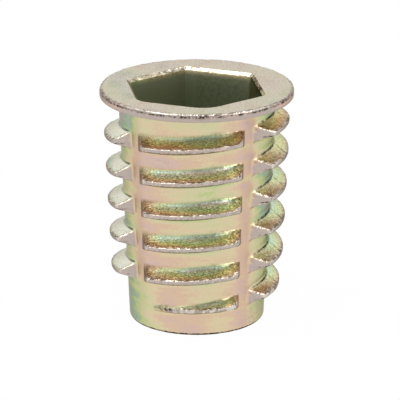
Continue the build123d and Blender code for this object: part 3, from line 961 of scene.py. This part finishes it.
# %% Painted glints, rubbed edges and painted shade
GLINTS_FROM, GLINTS_TO, NICKS_FROM = (0.34, 0.66), (0.40, 1.70), (0.47, 0.56)
CRUMBS_FROM, CRUMBS_TO = (0.42, 0.60), (0.35, 1.35)
BARE_ZINC, NICK_SHADE_BROWN, PAINTED_SHADE_BROWN = srgb(238, 231, 220), srgb(120, 104, 84), srgb(62, 54, 43)
# Painted glints and dark specks for the reflections of the cast grain.
painted_glints_and_specks = spread(noise(5.0, 2.0), GLINTS_FROM, GLINTS_TO)
colour = mixed(of_point["grain"], colour, painted_glints_and_specks, blend_type="MULTIPLY")
colour = mixed(of_point["cast"], colour, of_point["shade"], blend_type="MULTIPLY")
nicks = noise(1.9, 2.0)
nick_painted_shade = spread(nicks, NICKS_FROM, UNIT, interpolation_type="SMOOTHSTEP")
crumbs = spread(noise(3.2, 2.0), CRUMBS_FROM, CRUMBS_TO)
colour = painted_over(of_point["wear"], colour, BARE_ZINC, 0.8)
# Painted shade in the nicks of the rubbed edges.
colour = painted_over(reckon("MULTIPLY", nick_painted_shade, of_point["wear"]), colour, NICK_SHADE_BROWN, 0.8)
# Painted shade and darkening in brown, crumbled by a noise.
colour = painted_over(reckon("MULTIPLY", of_point["painted_shade_and_darkening"], crumbs), colour, PAINTED_SHADE_BROWN, 0.9)
feed(colour, shader.inputs["Base Color"])
print("rubbed edges: pale zinc with dark nicks")

# %% [markdown]
# The coat is satin on the barrel and a little duller on the face, in the socket and beside the strips.
# The grain is far too fine for the mesh, so two bumps stand for it: one for the cast skin, stronger on
# the flanks, and one for the nicks in the rubbed edges.

# %% Gloss and grain
GLOSS, GRAIN_STRENGTH, GRAIN_DEPTH, NICK_DEPTH = (0.25, 0.28), (0.14, 0.65), 0.00009, 0.00022
DULLER = {"socket": 0.14, "cast": 0.02, "strip": 0.2}
gloss = spread(of_point["matte"], UNIT, GLOSS)
for name, more in DULLER.items():
    gloss = reckon("MULTIPLY_ADD", of_point[name], more, gloss)
feed(gloss, shader.inputs["Roughness"])
strength = spread(of_point["grain"], UNIT, GRAIN_STRENGTH)
skin_bump = node("ShaderNodeBump", {"Strength": strength, "Distance": GRAIN_DEPTH, "Height": noise(4.5, 1.0)})
edge_bump = node("ShaderNodeBump", {"Strength": of_point["wear"], "Distance": NICK_DEPTH, "Height": nicks,
                                    "Normal": skin_bump.outputs["Normal"]})
feed(edge_bump.outputs["Normal"], shader.inputs["Normal"])
shader.location = (ROW_LENGTH * NODE_WIDE, 0)
tree.nodes["Material Output"].location = ((ROW_LENGTH + 2) * NODE_WIDE, 0)
skin.materials.append(coat)
print("roughness from %.2f on the barrel to %.2f on the face of the flange" % GLOSS)

# %% [markdown]
# ## Floor, world and lamps
# The insert stands on a white sheet in soft light. The floor and the world are plain white to the
# camera and to mirror-like rays, because a metal shows its surroundings; to all other rays they
# are ordinary, so the floor still takes the insert's shadow. Two large lamps give the edges their shine.

# %% Floor and world
FLOOR_HALF, FLOOR_DROP, PAPER_GREY, GLOW_SHARE, WORLD_LEVELS = 3.0, 0.00002, 0.9, 0.98, (0.7, 1.0)


def seen_directly():
    """Value that is 1 for rays from the camera and for mirrored or refracted rays, otherwise 0."""
    rays = node("ShaderNodeLightPath").outputs
    either = reckon("MAXIMUM", rays["Is Camera Ray"], rays["Is Glossy Ray"])
    return reckon("MAXIMUM", either, rays["Is Transmission Ray"])


floor_mesh = bpy.data.meshes.new("floor")
floor_corners = [(x * FLOOR_HALF, y * FLOOR_HALF, 0) for x, y in ((-1, -1), (1, -1), (1, 1), (-1, 1))]
floor_mesh.from_pydata(floor_corners, [], [(0, 1, 2, 3)])
floor = put("floor", floor_mesh)
floor.location.z = -FLOOR_DROP
paper, sheet = new_material("white_paper")
tree = paper.node_tree
sheet.inputs["Base Color"].default_value = (PAPER_GREY, PAPER_GREY, PAPER_GREY, 1.0)
sheet.inputs["Roughness"].default_value = 0.9
glow = node("ShaderNodeEmission").outputs[0]
glowing = reckon("MULTIPLY", seen_directly(), GLOW_SHARE)
blend = node("ShaderNodeMixShader", {"Fac": glowing, 1: sheet.outputs[0], 2: glow})
feed(blend.outputs[0], tree.nodes["Material Output"].inputs["Surface"])
floor_mesh.materials.append(paper)

world = bpy.data.worlds.new("studio")
world.use_nodes = True
bpy.context.scene.world = world
tree = world.node_tree
sky = tree.nodes["Background"]
sky.inputs["Color"].default_value = (1.0, 1.0, 1.0, 1.0)
feed(spread(seen_directly(), UNIT, WORLD_LEVELS), sky.inputs["Strength"])
print("floor is %.0f m wide" % (2 * FLOOR_HALF))

# %% Lamps


def lamp(name, forward, sideways, high, size, power):
    """Square lamp at a place counted from the object towards the camera, to the right and up. To aim back at
    the object it is tipped by the place's angle from the vertical and turned by its angle round it."""
    data = bpy.data.lights.new(name, "AREA")
    data.size, data.energy = size, power
    away = forward * front + sideways * right + high * up
    hung = put(name, data)
    hung.location = centre * MM + away
    tipped = math.atan2(math.hypot(away[0], away[1]), away[2])
    hung.rotation_euler = (tipped, 0.0, math.atan2(away[1], away[0]) + math.pi / 2)


lamp("overhead", 0.12, -0.22, 0.60, 0.45, 1.8)
lamp("fill", 0.28, 0.48, 0.50, 0.30, 1.0)
bpy.context.scene.view_settings.view_transform = "Standard"
print("lamps: a wide one overhead on the left, a weaker one on the right")

# %% [markdown]
# ## Dark cloths
# In an all-white room a bright metal looks like plaster, so photographers hang dark cloths for it to
# mirror: here behind it, at its two sides, and high above the camera. Each is a patch of a large sphere
# round the object, between two angles round it, counted from the camera, and two heights above the
# horizon. The camera doesn't see them.

# %% Cloths
CLOTH_DISTANCE = 1.1
CLOTHS = {"cloth_behind": (128, 190, 37, 78, 0.18), "cloth_behind_low": (128, 190, 28, 37, 0.85),
          "cloth_behind_left": (190, 236, 38, 56, 0.16), "cloth_front": (-20, 42, 42, 82, 0.12),
          "cloth_right": (116, 142, 6, 26, 0.06), "cloth_left": (-140, -112, 6, 24, 0.08)}


def cloth(name, start, end, low, high, grey, steps=12):
    """Patch of a sphere: forward, sideways and up are the distance times cosines and sines of two angles."""
    turned, raised = np.radians(np.meshgrid(np.linspace(start, end, steps), np.linspace(low, high, steps)))
    level = np.cos(raised)[..., None] * (np.cos(turned)[..., None] * front + np.sin(turned)[..., None] * right)
    spots = CLOTH_DISTANCE * (level + np.sin(raised)[..., None] * up)
    number = np.arange(steps * steps).reshape(steps, steps)
    corners = [number[:-1, :-1], number[:-1, 1:], number[1:, 1:], number[1:, :-1]]
    mesh = bpy.data.meshes.new(name)
    mesh.from_pydata(spots.reshape(-1, 3).tolist(), [], np.stack(corners, axis=-1).reshape(-1, 4).tolist())
    dyed, wool = new_material(name)
    wool.inputs["Base Color"].default_value = (grey, grey, grey, 1.0)
    wool.inputs["Roughness"].default_value = 1.0
    mesh.materials.append(dyed)
    hung = put(name, mesh)
    hung.visible_camera = hung.visible_diffuse = hung.visible_shadow = False


for name, patch in CLOTHS.items():
    cloth(name, *patch)
print("%d cloths hang %.1f m from the object" % (len(CLOTHS), CLOTH_DISTANCE))
